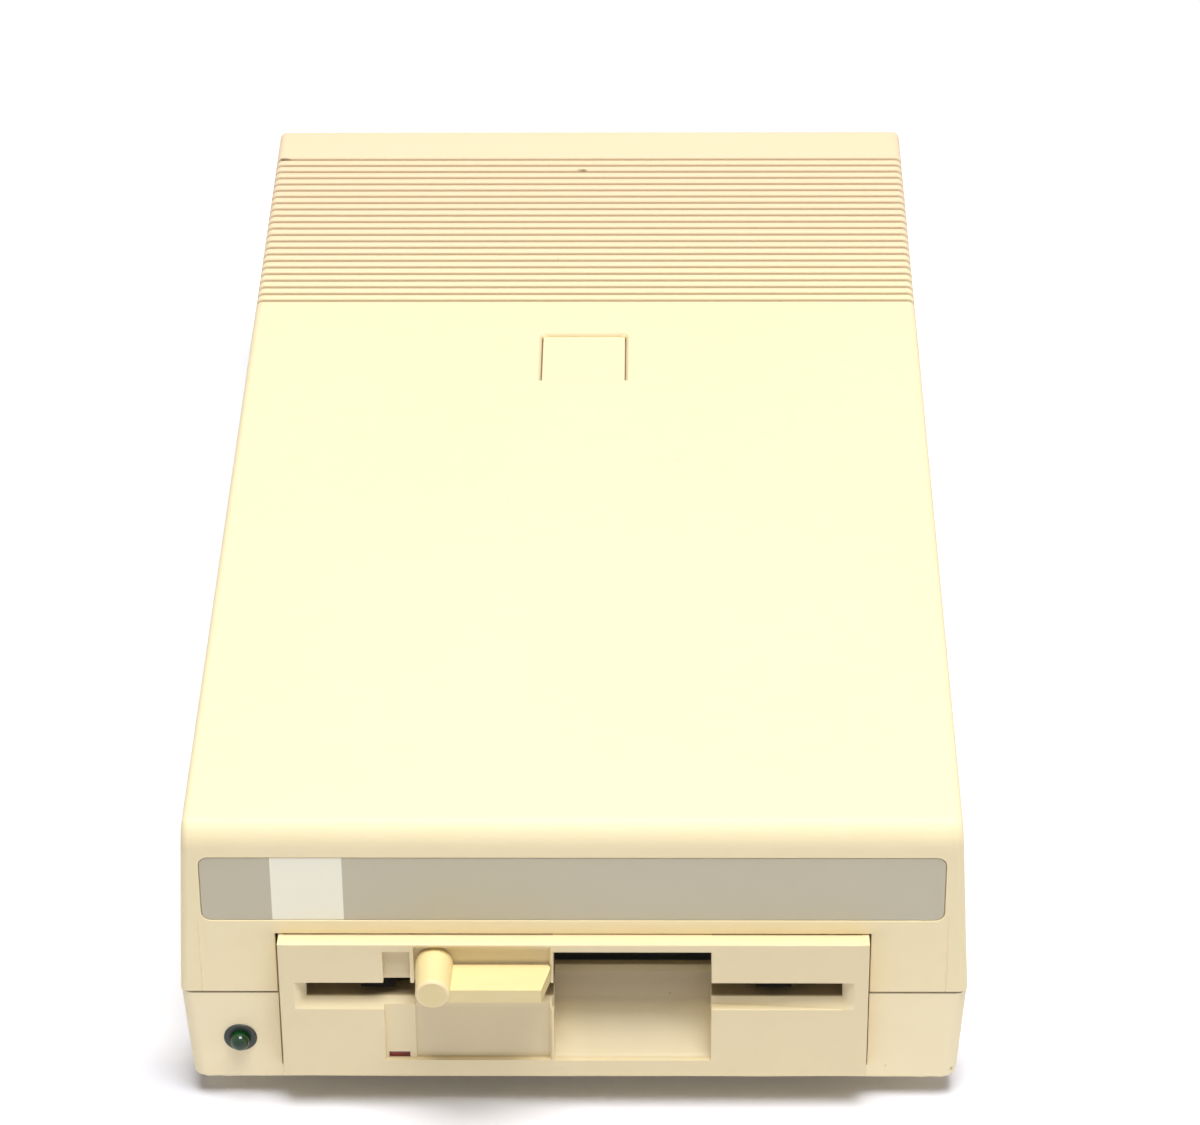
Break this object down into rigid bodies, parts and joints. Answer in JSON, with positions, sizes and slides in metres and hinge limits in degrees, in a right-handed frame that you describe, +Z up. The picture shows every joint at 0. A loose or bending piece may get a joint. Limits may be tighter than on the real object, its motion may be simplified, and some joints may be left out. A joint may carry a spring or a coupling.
{
  "type": "external floppy disk drive",
  "caption": "Desk-top floppy disk drive in a two-part moulded case, with a slot, a finger scoop and a quarter-turn clamp lever, and a recessed rear socket panel.",
  "frame": {"origin": "on the surface that the feet stand on, below the middle of the overall box", "axes": "+X to the right seen from the front, +Y from the front to the rear, +Z up"},
  "size_m": [0.2, 0.3824, 0.0868],
  "materials": {
    "case_plastic": "fine-grained moulding, satin",
    "bezel_plastic": "fine-grained moulding, satin",
    "lever_plastic": "moulded, yellowed with age",
    "label_grey": "satin grey film on a thin plate",
    "lamp_ring": "dark satin",
    "green_lens": "clear moulding, polished",
    "red_lens": "tinted moulding",
    "foot_rubber": "moulded",
    "zinc_steel": "zinc plated sheet",
    "ground_steel": "ground",
    "cast_alloy": "cast, as cast and machined",
    "motor_can": "dark paint",
    "black_plastic": "moulded",
    "grey_plastic": "moulded",
    "brass": "turned",
    "nickel_shell": "nickel plated",
    "copper_winding": "enamelled wire",
    "board_green": "solder resist",
    "capacitor_sleeve": "shrunk sleeve",
    "head_ceramic": "polished",
    "felt": "pressed felt",
    "fuse_glass": "clear tube"
  },
  "bodies": {
    "root": {"base_shell": "case_plastic", "top_shell": "case_plastic", "label_plate": "label_grey", "front_bezel": "bezel_plastic", "slot_fingers": "black_plastic", "power_led_ring": "lamp_ring", "power_led_lens": "green_lens", "activity_led": "red_lens", "rubber_feet": "foot_rubber", "case_screws": "zinc_steel", "chassis_frame": "zinc_steel", "chassis_screws": "zinc_steel", "rear_panel": "zinc_steel", "mech_chassis": "cast_alloy", "disk_guides": "grey_plastic", "disk_sensors": "black_plastic", "lever_bush": "grey_plastic", "clamp_pivot_pins": "ground_steel", "spindle_bearings": "ground_steel", "drive_belt": "foot_rubber", "spindle_motor": "motor_can", "stepper_motor": "motor_can", "lead_screw_bearing": "cast_alloy", "guide_rods": "ground_steel", "rod_clips": "zinc_steel", "main_board": "board_green", "board_standoffs": "zinc_steel", "logic_chips": "black_plastic", "smoothing_capacitors": "capacitor_sleeve", "heat_sinks": "cast_alloy", "transformer_core": "ground_steel", "transformer_coil": "copper_winding", "transformer_bracket": "zinc_steel", "inlet_housing": "black_plastic", "inlet_blades": "brass", "fuse_holder": "black_plastic", "switch_frame": "black_plastic", "din_shells": "nickel_shell", "din_inserts": "black_plastic", "din_contacts": "brass"},
    "lever": {"lever": "lever_plastic", "lever_shaft": "ground_steel", "lever_crank": "ground_steel"},
    "clamp_arm": {"clamp_arm": "zinc_steel", "clamp_stud": "ground_steel", "clamp_spring": "zinc_steel"},
    "clamp_cone": {"clamp_cone": "grey_plastic"},
    "spindle": {"spindle_hub": "cast_alloy", "spindle_shaft": "ground_steel", "flywheel": "cast_alloy"},
    "motor_rotor": {"motor_pulley": "brass"},
    "head_carriage": {"head_carriage": "grey_plastic", "read_head": "head_ceramic", "pad_arm_pin": "ground_steel"},
    "pad_arm": {"pad_arm": "grey_plastic", "pressure_pad": "felt"},
    "lead_screw": {"lead_screw": "ground_steel"},
    "rocker": {"switch_rocker": "black_plastic"},
    "fuse_cap": {"fuse_cap": "black_plastic", "fuse": "fuse_glass"}
  },
  "joints": [
    {"name": "lever_turn", "type": "hinge", "parent": "root", "child": "lever", "pos_m": [-0.0349, -0.185, 0.0465], "axis": [0, 1, 0], "range_deg": [0, 90]},
    {"name": "clamp_arm_tilt", "type": "hinge", "parent": "root", "child": "clamp_arm", "pos_m": [0, -0.01075, 0.04825], "axis": [1, 0, 0], "range_deg": [0, 2.31]},
    {"name": "clamp_cone_spin", "type": "hinge", "parent": "clamp_arm", "child": "clamp_cone", "pos_m": [0.0004, -0.10467, 0.05204], "axis": [0, 0.0403, 0.9992], "continuous": true},
    {"name": "spindle_spin", "type": "hinge", "parent": "root", "child": "spindle", "pos_m": [0.0004, -0.10475, 0.03], "axis": [0, 0, 1], "continuous": true},
    {"name": "motor_spin", "type": "hinge", "parent": "root", "child": "motor_rotor", "pos_m": [-0.046, 0.01025, 0.018], "axis": [0, 0, 1], "continuous": true},
    {"name": "head_slide", "type": "slide", "parent": "root", "child": "head_carriage", "axis": [0, -1, 0], "range_m": [0, 0.018]},
    {"name": "lead_screw_turn", "type": "hinge", "parent": "root", "child": "lead_screw", "pos_m": [0.026, 0, 0.027], "axis": [0, 1, 0], "range_deg": [0, 1021]},
    {"name": "pad_arm_tilt", "type": "hinge", "parent": "head_carriage", "child": "pad_arm", "pos_m": [0.0004, -0.03225, 0.041], "axis": [1, 0, 0], "range_deg": [0, 12]},
    {"name": "power_switch", "type": "hinge", "parent": "root", "child": "rocker", "pos_m": [0.058, 0.17775, 0.0315], "axis": [-1, 0, 0], "range_deg": [0, 24]},
    {"name": "fuse_cap_turn", "type": "hinge", "parent": "root", "child": "fuse_cap", "pos_m": [-0.031, 0.18, 0.0315], "axis": [0, 1, 0], "range_deg": [0, 90]}
  ],
  "couplings": [
    {"joint": "clamp_arm_tilt", "follows": "lever_turn", "ratio": 0.025687},
    {"joint": "pad_arm_tilt", "follows": "lever_turn", "ratio": 0.13333},
    {"joint": "motor_spin", "follows": "spindle_spin", "ratio": 7},
    {"joint": "lead_screw_turn", "follows": "head_slide", "rad_per_m": 989.5}
  ]
}
